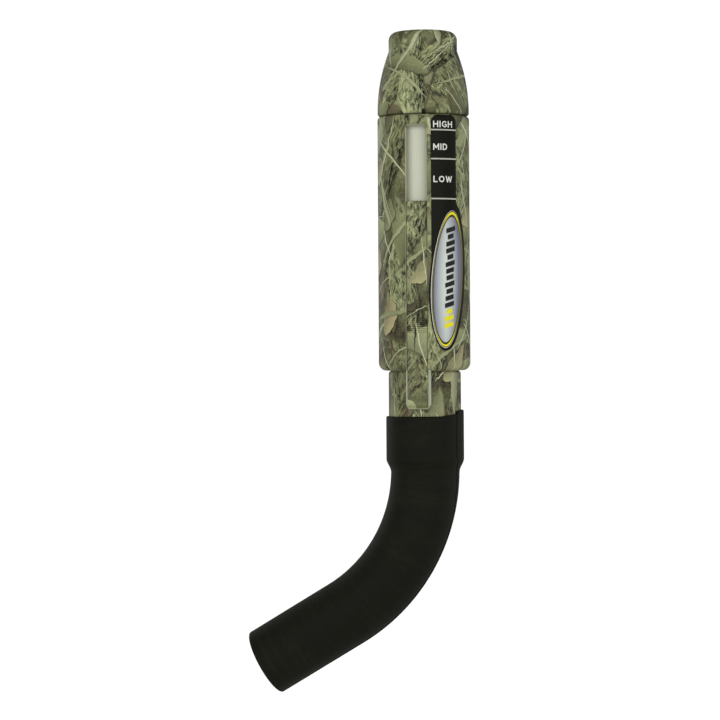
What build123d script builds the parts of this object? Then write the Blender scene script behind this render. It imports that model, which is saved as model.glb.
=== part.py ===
"""Mouth-blown deer call with a sliding tone bar and a curved rubber exhaust tube.

Frame: +Z runs up the barrel's axis to the mouthpiece, and the origin is on that axis at the middle of the
barrel. -Y is the front, where the tone bar slides, and -X is the side to which the rubber tube curves.
All sizes are in millimetres. The tone bar is drawn at its lowest, deepest-voiced stop.
"""

import os
from math import cos, radians, sin, tan

from build123d import *

# How far a cutting solid runs past what it cuts, and the gap round pieces that are pressed together.
PAST = 1.0
SEAT_GAP = 0.05

# Barrel: the outer shell, with a full-length front slot that is open at the bottom.
BARREL_R = 16.5
BARREL_TOP = 45.6
BARREL_BOTTOM = -BARREL_TOP
BARREL_BORE_R = 14.6
BARREL_TOP_ROUND = 1.2
BARREL_BOTTOM_ROUND = 2.8
SLOT_HALF = 3.85
SLOT_TOP = 41.35
SLOT_CORNER_R = 0.9
SLOT_SIDE_CHAMFER = 0.35
SLOT_RAMP_DEPTH = 1.3
SLOT_RAMP_RISE = 1.15
LIP_TOP = BARREL_BOTTOM + 2.0
LIP_BORE_R = 12.35
PASSAGE_HALF = 4.9

# Inner tube: the pale reed chamber that shows through the slot, hung by a flange from the barrel's top.
TUBE_R = 13.0
TUBE_BORE_R = 11.2
FLANGE_R = 14.9
FLANGE_BOTTOM = 43.2
LUG_SLOT_PLAY = 0.3
LUG_SLOT_CORNER_R = 0.6

# Key pins stop the inner tube turning in the barrel.
KEY_PIN_R = 0.6
KEY_PIN_BOTTOM = FLANGE_BOTTOM + 0.1
KEY_PIN_LENGTH = 2.2

# Tone bar, its lug and its travel from the deepest voice to the highest.
TRAVEL = 25.3
BAR_TOP = 14.7
BAR_BOTTOM = -59.3
BAR_INNER_R = 13.15
BAR_FACE_R = 15.75
BAR_FACE_HALF = 3.68
BAR_FACE_ROUND = 0.3
BAR_FLANGE_R = 14.4
BAR_FLANGE_HALF = 4.45
BAR_CORNER_CUT = 1.0
BAR_CORNER_RISE = 1.6
BAR_TOP_CHAMFER = 0.5
RIDGE_TOP = -24.5
RIDGE_PITCH = 0.68
RIDGE_COUNT = 12
RIDGE_DEPTH = 0.3
RIDGE_HALF = 0.2
LUG_HALF_X = 1.5
LUG_BOTTOM = -24.2
LUG_TOP = -19.8
LUG_INNER_Y = -7.7
LUG_ROOT_Y = -14.2

# Gasket: the felt strip that is let into the bar's back.
GASKET_BOTTOM = -52.0
GASKET_TOP = 8.0
GASKET_HALF = 3.2
GASKET_INNER_R = 13.04
GASKET_OUTER_R = 13.95
GASKET_GAP = 0.05

# Neck: the lower fitting that the rubber tube is pushed onto.
NECK_R = 13.0
NECK_TOP = BARREL_BOTTOM - 0.1
NECK_BOTTOM = -77.0
NECK_ROUND = 1.1
NECK_LEAD_CHAMFER = 0.6
NECK_BORE_R = 10.8
NECK_FUNNEL = 4.0
COLLAR_R = 12.3
SPIGOT_R = 11.15
SPIGOT_BORE_R = 9.2
SPIGOT_TOP = -38.2

# Rubber tube: stretched over the neck as a cuff, then one even bend and a straight outlet.
HOSE_R = 12.35
HOSE_BORE_R = 11.0
CUFF_R = 14.0
CUFF_BORE_R = 13.05
CUFF_RIM = -62.0
CUFF_RIM_RISE = 2.4
RIM_FLAT_X = 3.6
CUFF_END = -78.1
CUFF_END_ROUND = 1.5
TAPER_END = -81.3
BEND_R = 61.0
BEND_ANGLE = 58.7
OUTLET_LENGTH = 34.9
OUTLET_ROUND = 0.45

# Reed assembly: a plug pushed into the inner tube that holds the tone board, reed and wedge.
HOLDER_R = 11.15
HOLDER_BOTTOM = -37.6
HOLDER_TOP = -27.6
HOLDER_SEAL_INSET = 2.6
GRIP_GAP = 0.02
BOARD_R = 5.2
BOARD_TOP = 20.0
BOARD_FACE_Y = 1.0
FACE_RELIEF_ANGLE = 1.4
TROUGH_HALF = 2.6
TROUGH_FLOOR_Y = -2.8
TROUGH_TOP = 17.5
TROUGH_RAMP_R = 2.0
REED_HALF = 4.3
REED_THICK = 0.3
REED_BOTTOM = -36.2
REED_TOP = 18.5
REED_TIP_R = 2.5
REED_FACE_Y = BOARD_FACE_Y + REED_THICK
WEDGE_HALF = 4.5
WEDGE_OUTER_Y = 3.1
WEDGE_NOSE = 1.6
WEDGE_NOSE_THICK = 0.5

# Carriage: the collar inside the tube that the lug drives, with the rubber tuning ring in its groove.
CARRIAGE_R = 10.7
CARRIAGE_BOTTOM = -25.2
CARRIAGE_TOP = -18.8
CARRIAGE_CLEAR = 0.3
AIR_HOLE_R = 1.5
AIR_HOLE_AT = (5.4, 5.9)
RING_BOTTOM = -23.2
RING_TOP = -20.8
RING_WALL = 1.75
PIN_R = 0.7
PIN_HALF = 5.2
PIN_AT = (-9.3, -22.0)

# Mouthpiece: a short round tip that flares in one arc to the barrel's width.
TIP_R = 12.33
TIP_TOP = 76.2
TIP_ROUND = 3.0
TIP_BOTTOM = 69.2
FLARE_MID = (15.1, 59.9)
MOUTH_R = 16.45
MOUTH_BOTTOM = BARREL_TOP + 0.2
MOUTH_ROUND = 1.1
INLET_R = 7.0
INLET_LEAD = 1.6
INLET_BOTTOM = TIP_TOP - 10.0
CHAMBER_R = 9.2
CHAMBER_TOP = MOUTH_BOTTOM + 8.0
MOUTH_SPIGOT_R = 11.1
MOUTH_SPIGOT_BOTTOM = 35.6
MOUTH_SPIGOT_CHAMFER = 0.5
MOUTH_SEAL_Z = MOUTH_SPIGOT_BOTTOM + 3.0

# Rubber sealing rings share one section.
SEAL_SECTION_R = 0.6
SEAL_OUTER_R = 11.18
SEAL_GROOVE_R = 9.98
SEAL_GROOVE_HALF = 0.75
NECK_SEAL_Z = SPIGOT_TOP - 2.6
HOLDER_SEAL_ZS = (HOLDER_BOTTOM + HOLDER_SEAL_INSET, HOLDER_TOP - HOLDER_SEAL_INSET)

# Scale label and oval badge: thin film and foil, turned to the right of the slot and drawn square on.
LABEL_TURN = 42.0
FILM = 0.05
FOIL = 0.04
LABEL_LEFT = -6.5
LABEL_RIGHT = 3.4
LABEL_TOP = 45.2
LABEL_CORNER_R = 2.6
SHOULDER_TOP = 14.1
SHOULDER_BEND = (5.4, 10.9)
SHOULDER_FOOT = (7.1, 4.0)
BADGE_LEAN = 4.1
BADGE_AT = (0.35, -13.2)
BADGE_LENGTH = 50.9
BADGE_WIDTH = 15.0
PLATE_AT = (0.0, -13.2)
PLATE_LENGTH = 49.0
PLATE_WIDTH = 13.1


def rod(radius, bottom, top):
    """A cylinder on the barrel's axis between two heights."""
    return Pos(0, 0, bottom) * Cylinder(radius, top - bottom, align=(Align.CENTER, Align.CENTER, Align.MIN))


def tube(outer, inner, bottom, top):
    """A ring on the barrel's axis between two heights."""
    return rod(outer, bottom, top) - rod(inner, bottom - PAST, top + PAST)


def block(x_half, y_low, y_high, bottom, top):
    """A box centred on X between two depths and two heights."""
    size = (2 * x_half, y_high - y_low, top - bottom)
    return Pos(0, (y_low + y_high) / 2, (bottom + top) / 2) * Box(*size)


def front_block(x_half, y_high, bottom, top):
    """A box that runs from a depth out through the barrel's front."""
    return block(x_half, -BARREL_R - PAST, y_high, bottom, top)


def spun(points):
    """A solid of revolution about Z from a closed outline of (radius, height) corners."""
    outline = Polyline(*[(r, 0, z) for r, z in points], close=True)
    return revolve(make_face(outline), Axis.Z)


def side_profile(points, x_half):
    """A bar along X, centred, from (y, z) corners."""
    return extrude(Plane.YZ * make_face(Polyline(*points, close=True)), x_half, both=True)


def half_round(radius, flat_y, bottom, top):
    """A rod with everything behind a flat cut away, the tone board's kind of section."""
    return rod(radius, bottom, top) - block(radius + PAST, flat_y, radius + PAST, bottom - PAST, top + PAST)


def end_circle(solid, which):
    """The lowest (0) or highest (-1) round edge of a solid."""
    return solid.edges().filter_by(GeomType.CIRCLE).sort_by(Axis.Z)[which]


def seal_ring(height):
    """A round-section sealing ring that stands just clear of the tube's bore."""
    return Pos(0, 0, height) * Torus(SEAL_OUTER_R - SEAL_SECTION_R, SEAL_SECTION_R)


def seal_groove(height):
    """What is cut from a plug or spigot to seat a sealing ring."""
    return tube(TUBE_R, SEAL_GROOVE_R, height - SEAL_GROOVE_HALF, height + SEAL_GROOVE_HALF)


def key_pins():
    """Two steel pins in the seam between the inner tube's flange and the barrel."""
    pin = rod(KEY_PIN_R, KEY_PIN_BOTTOM, KEY_PIN_BOTTOM + KEY_PIN_LENGTH)
    return [Pos(side * FLANGE_R, 0, 0) * pin for side in (-1, 1)]


def slot_tool():
    """The front slot: its sides, the small chamfers along them and the ramp over its top."""
    cut = front_block(SLOT_HALF, 0, BARREL_BOTTOM - PAST, SLOT_TOP)
    cut = fillet(cut.edges().filter_by(Axis.Y).group_by(Axis.Z)[-1], SLOT_CORNER_R)
    edge_y = -((BARREL_R**2 - SLOT_HALF**2) ** 0.5)
    for side in (-1, 1):
        corners = [
            (side * (SLOT_HALF - PAST), edge_y - PAST),
            (side * (SLOT_HALF - PAST), edge_y + SLOT_SIDE_CHAMFER + PAST),
            (side * (SLOT_HALF + SLOT_SIDE_CHAMFER + PAST), edge_y - PAST),
        ]
        wedge = extrude(make_face(Polyline(*corners, close=True)), SLOT_TOP - BARREL_BOTTOM)
        cut += Pos(0, 0, BARREL_BOTTOM) * wedge
    slope = SLOT_RAMP_RISE / SLOT_RAMP_DEPTH
    inner = BARREL_R - SLOT_RAMP_DEPTH
    outer = BARREL_R + PAST
    ramp = spun([(inner, SLOT_TOP), (outer, SLOT_TOP + slope * (outer - inner)), (outer, SLOT_TOP)])
    return cut + (ramp & front_block(SLOT_HALF, 0, SLOT_TOP - PAST, BARREL_TOP))


def barrel():
    shell = rod(BARREL_R, BARREL_BOTTOM, BARREL_TOP)
    shell = fillet(end_circle(shell, 0), BARREL_BOTTOM_ROUND)
    shell = fillet(end_circle(shell, -1), BARREL_TOP_ROUND)
    shell -= rod(BARREL_BORE_R, LIP_TOP, BARREL_TOP + PAST)
    shell -= rod(FLANGE_R + SEAT_GAP, FLANGE_BOTTOM, BARREL_TOP + PAST)
    shell -= rod(LIP_BORE_R, BARREL_BOTTOM - PAST, BARREL_TOP)
    shell -= slot_tool()
    passage = tube(BARREL_BORE_R, NECK_R, BARREL_BOTTOM - PAST, LIP_TOP + PAST)
    shell -= passage & front_block(PASSAGE_HALF, 0, BARREL_BOTTOM - PAST, LIP_TOP + PAST)
    for pin in key_pins():
        shell -= pin
    return shell


def inner_tube():
    body = rod(TUBE_R, LIP_TOP, BARREL_TOP - SEAT_GAP) + rod(FLANGE_R, FLANGE_BOTTOM, BARREL_TOP - SEAT_GAP)
    body -= rod(TUBE_BORE_R, LIP_TOP - PAST, BARREL_TOP)
    slot_bottom = LUG_BOTTOM - LUG_SLOT_PLAY
    lug_slot = front_block(LUG_HALF_X + LUG_SLOT_PLAY, 0, slot_bottom, LUG_TOP + TRAVEL + LUG_SLOT_PLAY)
    body -= fillet(lug_slot.edges().filter_by(Axis.Y), LUG_SLOT_CORNER_R)
    for pin in key_pins():
        body -= pin
    return body


def neck():
    body = rod(NECK_R, NECK_BOTTOM, NECK_TOP)
    body = fillet(end_circle(body, -1), NECK_ROUND)
    body = chamfer(end_circle(body, 0), NECK_LEAD_CHAMFER)
    body += rod(COLLAR_R, NECK_TOP - PAST, LIP_TOP)
    body += rod(SPIGOT_R, LIP_TOP - PAST, SPIGOT_TOP)
    body -= spun(
        [(0, NECK_BOTTOM - PAST), (NECK_BORE_R, NECK_BOTTOM - PAST), (NECK_BORE_R, NECK_TOP - NECK_FUNNEL),
         (SPIGOT_BORE_R, NECK_TOP), (SPIGOT_BORE_R, SPIGOT_TOP + PAST), (0, SPIGOT_TOP + PAST)]
    )
    return body - seal_groove(NECK_SEAL_Z)


def outlet_location():
    """Where the bend ends: its -Z axis points out of the outlet."""
    turn = radians(BEND_ANGLE)
    return Pos(-BEND_R * (1 - cos(turn)), 0, TAPER_END - BEND_R * sin(turn)) * Rot(0, BEND_ANGLE, 0)


def bend(radius):
    """A bent rod along the rubber tube's centreline, from the end of its taper to its straight outlet."""
    circle = Pos(0, 0, TAPER_END) * Circle(radius)
    return revolve(circle, Axis((-BEND_R, 0, TAPER_END), (0, 1, 0)), BEND_ANGLE)


def outlet(radius, length):
    """A straight rod along the rubber tube's outlet."""
    return outlet_location() * Cylinder(radius, length, align=(Align.CENTER, Align.CENTER, Align.MAX))


def rim_tool():
    """Everything above the cuff's rim, which is level and then sweeps up on the outside of the bend."""
    far = CUFF_R + PAST
    high = CUFF_RIM + CUFF_RIM_RISE
    level = Line((-far, CUFF_RIM), (RIM_FLAT_X, CUFF_RIM))
    sweep = TangentArc((RIM_FLAT_X, CUFF_RIM), (CUFF_R, high), tangent=(1, 0))
    clear = BARREL_BOTTOM
    above = Polyline((CUFF_R, high), (far, high), (far, clear), (-far, clear), (-far, CUFF_RIM))
    return extrude(Plane.XZ * make_face(level + sweep + above), far, both=True)


def hose():
    tall = BARREL_BOTTOM - PAST
    cuff = spun([(0, tall), (CUFF_R, tall), (CUFF_R, CUFF_END), (HOSE_R, TAPER_END), (0, TAPER_END)])
    kink = [e for e in cuff.edges().filter_by(GeomType.CIRCLE) if abs(e.center().Z - CUFF_END) < SEAT_GAP]
    cuff = fillet(kink, CUFF_END_ROUND)
    cuff_bore = spun(
        [(0, BARREL_BOTTOM), (CUFF_BORE_R, BARREL_BOTTOM), (CUFF_BORE_R, CUFF_END),
         (HOSE_BORE_R, TAPER_END), (0, TAPER_END)]
    )
    straight = outlet(HOSE_R, OUTLET_LENGTH)
    straight = fillet(straight.edges().filter_by(GeomType.CIRCLE).sort_by(Axis.X)[0], OUTLET_ROUND)
    body = cuff + bend(HOSE_R) + straight
    return body - cuff_bore - bend(HOSE_BORE_R) - outlet(HOSE_BORE_R, OUTLET_LENGTH + PAST) - rim_tool()


def bar_section():
    """The bar's section: a raised face between two lower flanges, hollowed to the tube's curve."""
    face = Circle(BAR_FACE_R) & Pos(0, -BAR_FACE_R) * Rectangle(2 * BAR_FACE_HALF, 2 * BAR_FACE_R)
    face = fillet(face.vertices().group_by(Axis.Y)[0], BAR_FACE_ROUND)
    flange = Circle(BAR_FLANGE_R) & Pos(0, -BAR_FLANGE_R) * Rectangle(2 * BAR_FLANGE_HALF, 2 * BAR_FLANGE_R)
    return face + flange - Circle(BAR_INNER_R)


def bar_end_cuts():
    """What is cut from the bar's ends: sloped front edges, and the two lower corners of its flanges."""
    out = BAR_FACE_R + PAST
    crest = BAR_FACE_R - BAR_TOP_CHAMFER
    cuts = [
        spun([(BAR_FLANGE_R, BAR_BOTTOM), (out, BAR_BOTTOM + out - BAR_FLANGE_R), (out, BAR_BOTTOM)]),
        spun([(crest, BAR_TOP), (out, BAR_TOP + crest - out), (out, BAR_TOP)]),
    ]
    for side in (-1, 1):
        inner = side * (BAR_FLANGE_HALF - BAR_CORNER_CUT)
        edge = side * BAR_FLANGE_HALF
        corner = [(inner, BAR_BOTTOM), (edge, BAR_BOTTOM + BAR_CORNER_RISE), (edge, BAR_BOTTOM)]
        cuts.append(extrude(Plane.XZ * make_face(Polyline(*corner, close=True)), out))
    return cuts


def grip_grooves():
    """The row of small grooves that leaves grip ridges for the thumb."""
    deep, out = BAR_FACE_R - RIDGE_DEPTH, BAR_FACE_R + RIDGE_HALF
    heights = [RIDGE_TOP - i * RIDGE_PITCH for i in range(RIDGE_COUNT)]
    return [spun([(deep, z), (out, z + RIDGE_HALF), (out, z - RIDGE_HALF)]) for z in heights]


def slide_bar():
    """The tone bar, which fills the slot and reaches inside with a lug."""
    bar = Pos(0, 0, BAR_BOTTOM) * extrude(bar_section(), BAR_TOP - BAR_BOTTOM)
    for cut in bar_end_cuts() + grip_grooves():
        bar -= cut
    recess = tube(GASKET_OUTER_R, BAR_INNER_R - PAST, GASKET_BOTTOM, GASKET_TOP)
    bar -= recess & front_block(GASKET_HALF, 0, GASKET_BOTTOM, GASKET_TOP)
    bar += block(LUG_HALF_X, LUG_ROOT_Y, LUG_INNER_Y, LUG_BOTTOM, LUG_TOP)
    return bar - carriage_pin()


def slide_gasket():
    """The felt strip that seals the lug's slot and holds the bar where it is set."""
    low, high = GASKET_BOTTOM + GASKET_GAP, GASKET_TOP - GASKET_GAP
    strip = tube(GASKET_OUTER_R - GASKET_GAP, GASKET_INNER_R, low, high)
    strip &= front_block(GASKET_HALF - GASKET_GAP, 0, low, high)
    return strip - front_block(LUG_HALF_X + GASKET_GAP, 0, LUG_BOTTOM - GASKET_GAP, LUG_TOP + GASKET_GAP)


def carriage_pin():
    """The cross pin that joins the lug to the carriage."""
    y, z = PIN_AT
    return Pos(0, y, z) * Rot(0, 90, 0) * Cylinder(PIN_R, 2 * PIN_HALF)


def slide_carriage():
    """The collar inside the tube that carries the tuning ring along the tone board."""
    low, high = CARRIAGE_BOTTOM - PAST, CARRIAGE_TOP + PAST
    body = rod(CARRIAGE_R, CARRIAGE_BOTTOM, CARRIAGE_TOP)
    body -= half_round(BOARD_R + CARRIAGE_CLEAR, REED_FACE_Y + CARRIAGE_CLEAR, low, high)
    wall, gap = RING_WALL + SEAT_GAP, SEAT_GAP
    body -= half_round(BOARD_R + wall, REED_FACE_Y + wall, RING_BOTTOM - gap, RING_TOP + gap)
    body -= front_block(LUG_HALF_X + gap, LUG_INNER_Y + gap, LUG_BOTTOM - gap, LUG_TOP + gap)
    x, y = AIR_HOLE_AT
    for side in (-1, 1):
        body -= Pos(side * x, y, 0) * rod(AIR_HOLE_R, low, high)
    return body - carriage_pin()


def tuning_ring():
    """The rubber band round the tone board and reed that sets how much reed is free."""
    outer = half_round(BOARD_R + RING_WALL, REED_FACE_Y + RING_WALL, RING_BOTTOM, RING_TOP)
    return outer - half_round(BOARD_R + SEAT_GAP, REED_FACE_Y + SEAT_GAP, RING_BOTTOM - PAST, RING_TOP + PAST)


def tone_board():
    """A half-round board with an air trough, whose face falls away from the reed towards the tip."""
    board = half_round(BOARD_R, BOARD_FACE_Y, HOLDER_BOTTOM, BOARD_TOP)
    end = BOARD_TOP + PAST
    fall = (end - REED_BOTTOM) * tan(radians(FACE_RELIEF_ANGLE))
    over = BOARD_FACE_Y + PAST
    relief = [(BOARD_FACE_Y, REED_BOTTOM), (BOARD_FACE_Y - fall, end), (over, end), (over, REED_BOTTOM)]
    board -= side_profile(relief, BOARD_R + PAST)
    trough = block(TROUGH_HALF, TROUGH_FLOOR_Y, over, HOLDER_BOTTOM - PAST, TROUGH_TOP)
    ramp_edge = trough.edges().filter_by(Axis.X).group_by(Axis.Z)[-1].sort_by(Axis.Y)[0]
    return board - fillet(ramp_edge, TROUGH_RAMP_R)


def reed_holder():
    """The plug that seals in the tube's bore and grips the board, reed and wedge."""
    low, high = HOLDER_BOTTOM - PAST, HOLDER_TOP + PAST
    body = rod(HOLDER_R, HOLDER_BOTTOM, HOLDER_TOP)
    body -= half_round(BOARD_R + GRIP_GAP, BOARD_FACE_Y, low, high)
    body -= block(WEDGE_HALF + GRIP_GAP, BOARD_FACE_Y - GRIP_GAP, WEDGE_OUTER_Y + GRIP_GAP, low, high)
    for height in HOLDER_SEAL_ZS:
        body -= seal_groove(height)
    return body


def reed():
    """The vibrating strip, straight at rest, with a rounded free end."""
    strip = block(REED_HALF, BOARD_FACE_Y, REED_FACE_Y, REED_BOTTOM, REED_TOP)
    return fillet(strip.edges().filter_by(Axis.Y).group_by(Axis.Z)[-1], REED_TIP_R)


def reed_wedge():
    """The tapered block that presses the reed's root against the board."""
    inner = REED_FACE_Y + GRIP_GAP
    nose = HOLDER_TOP + WEDGE_NOSE
    outline = [
        (inner, HOLDER_BOTTOM), (WEDGE_OUTER_Y, HOLDER_BOTTOM), (WEDGE_OUTER_Y, HOLDER_TOP),
        (inner + WEDGE_NOSE_THICK, nose), (inner, nose),
    ]
    return side_profile(outline, WEDGE_HALF)


def mouthpiece():
    """The tip that is blown into: a rounded rim, a flared outside and a spigot with a sealing ring."""
    rim_start = (TIP_R - TIP_ROUND, TIP_TOP)
    rim_end = (TIP_R, TIP_TOP - TIP_ROUND)
    flare_end = (MOUTH_R, MOUTH_BOTTOM + MOUTH_ROUND)
    foot_end = (MOUTH_R - MOUTH_ROUND, MOUTH_BOTTOM)
    lead_start = (INLET_R, TIP_TOP - INLET_LEAD)
    lead_end = (INLET_R + INLET_LEAD, TIP_TOP)
    outline = (
        Line(lead_end, rim_start)
        + RadiusArc(rim_start, rim_end, TIP_ROUND)
        + Line(rim_end, (TIP_R, TIP_BOTTOM))
        + ThreePointArc((TIP_R, TIP_BOTTOM), FLARE_MID, flare_end)
        + RadiusArc(flare_end, foot_end, MOUTH_ROUND)
        + Polyline(
            foot_end, (MOUTH_SPIGOT_R, MOUTH_BOTTOM),
            (MOUTH_SPIGOT_R, MOUTH_SPIGOT_BOTTOM + MOUTH_SPIGOT_CHAMFER),
            (MOUTH_SPIGOT_R - MOUTH_SPIGOT_CHAMFER, MOUTH_SPIGOT_BOTTOM),
            (CHAMBER_R, MOUTH_SPIGOT_BOTTOM), (CHAMBER_R, CHAMBER_TOP), (INLET_R, INLET_BOTTOM), lead_start,
        )
        + RadiusArc(lead_start, lead_end, INLET_LEAD)
    )
    return revolve(Plane.XZ * make_face(outline), Axis.Z) - seal_groove(MOUTH_SEAL_Z)


def grown_barrel(extra):
    """The barrel's outside, grown by a little all round."""
    body = rod(BARREL_R + extra, BARREL_BOTTOM, BARREL_TOP + extra)
    return fillet(end_circle(body, -1), BARREL_TOP_ROUND + extra)


def skin(outline, under, over):
    """A flat outline at the label's angle, laid on the barrel between two thicknesses."""
    prism = Rot(0, 0, LABEL_TURN) * extrude(Plane.XZ * outline, BARREL_R + PAST)
    return (grown_barrel(over) - grown_barrel(under)) & prism


def leaning_oval(centre, length, width):
    """An oval on the label whose top leans away from the slot."""
    return Pos(*centre) * Rot(0, 0, -BADGE_LEAN) * Ellipse(width / 2, length / 2)


def position_label():
    """The film with the three voice positions and the badge's oval ground."""
    middle_x, oval_z = BADGE_AT
    top = SHOULDER_TOP
    band_at = ((LABEL_LEFT + LABEL_RIGHT) / 2, (LABEL_TOP + oval_z) / 2)
    band = Pos(*band_at) * RectangleRounded(LABEL_RIGHT - LABEL_LEFT, LABEL_TOP - oval_z, LABEL_CORNER_R)
    shoulder = Polyline((middle_x, top), (LABEL_RIGHT, top), SHOULDER_BEND, SHOULDER_FOOT, BADGE_AT,
                        close=True)
    oval = leaning_oval(BADGE_AT, BADGE_LENGTH, BADGE_WIDTH)
    return skin(band + oval + make_face(shoulder), 0, FILM)


def foil_badge():
    """The thin oval foil on the label."""
    return skin(leaning_oval(PLATE_AT, PLATE_LENGTH, PLATE_WIDTH), FILM, FILM + FOIL)


def neck_seal():
    return seal_ring(NECK_SEAL_Z)


def mouthpiece_seal():
    return seal_ring(MOUTH_SEAL_Z)


NODES = {
    "barrel": barrel,
    "inner_tube": inner_tube,
    "neck": neck,
    "neck_seal": neck_seal,
    "hose": hose,
    "slide_bar": slide_bar,
    "slide_gasket": slide_gasket,
    "slide_carriage": slide_carriage,
    "carriage_pin": carriage_pin,
    "tuning_ring": tuning_ring,
    "tone_board": tone_board,
    "reed_holder": reed_holder,
    "reed": reed,
    "reed_wedge": reed_wedge,
    "mouthpiece": mouthpiece,
    "mouthpiece_seal": mouthpiece_seal,
    "position_label": position_label,
    "foil_badge": foil_badge,
}
GROUPS = {
    "key_pins": key_pins(),
    "holder_seals": [seal_ring(height) for height in HOLDER_SEAL_ZS],
}


def main():
    os.makedirs("parts", exist_ok=True)
    for name, build in NODES.items():
        export_step(build(), os.path.join("parts", name + ".step"))
    for name, solids in GROUPS.items():
        export_step(Compound(children=solids), os.path.join("parts", name + ".step"))


main()
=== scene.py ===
"""The looks of a mouth-blown deer call: printed foliage plastic, a rubber tube, a scale label and a badge.

Everything is in metres in the CAD frame: +Z runs up the barrel to the mouthpiece, -Y is the slot's side and
-X is the side to which the rubber tube curves. Sizes below are named in millimetres and scaled by MM.
"""

from collections import namedtuple
from math import atan2, cos, pi, radians, sin, sqrt

import bmesh
import bpy
from mathutils import Matrix, Vector
from mathutils.geometry import delaunay_2d_cdt


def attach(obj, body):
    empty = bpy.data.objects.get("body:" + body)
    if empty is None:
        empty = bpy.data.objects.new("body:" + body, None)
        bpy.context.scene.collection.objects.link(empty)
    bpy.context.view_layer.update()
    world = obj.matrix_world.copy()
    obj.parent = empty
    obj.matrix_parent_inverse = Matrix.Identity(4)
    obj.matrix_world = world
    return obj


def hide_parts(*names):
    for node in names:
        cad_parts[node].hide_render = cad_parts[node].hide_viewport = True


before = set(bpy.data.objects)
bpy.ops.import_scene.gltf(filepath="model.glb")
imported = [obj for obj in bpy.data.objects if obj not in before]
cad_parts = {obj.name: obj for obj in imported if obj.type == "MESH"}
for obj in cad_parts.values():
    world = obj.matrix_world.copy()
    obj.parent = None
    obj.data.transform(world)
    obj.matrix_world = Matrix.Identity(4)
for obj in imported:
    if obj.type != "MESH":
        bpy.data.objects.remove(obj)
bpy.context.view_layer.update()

MM = 0.001

# The barrel, which every printed pattern and label is laid out on, in millimetres.
BARREL_R = 16.5
GIRTH = 2 * pi * BARREL_R


# ---------------------------------------------------------------- node graphs


class Wire:
    """A number or vector that a node works out, with ordinary arithmetic."""

    def __init__(self, graph, socket):
        self.graph = graph
        self.socket = socket

    def __add__(self, other):
        return self.graph.math("ADD", self, other)

    def __sub__(self, other):
        return self.graph.math("SUBTRACT", self, other)

    def __rsub__(self, other):
        return self.graph.math("SUBTRACT", other, self)

    def __mul__(self, other):
        return self.graph.math("MULTIPLY", self, other)

    def __truediv__(self, other):
        return self.graph.math("DIVIDE", self, other)

    def __rtruediv__(self, other):
        return self.graph.math("DIVIDE", other, self)

    def __abs__(self):
        return self.graph.math("ABSOLUTE", self)

    __radd__ = __add__
    __rmul__ = __mul__


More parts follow.
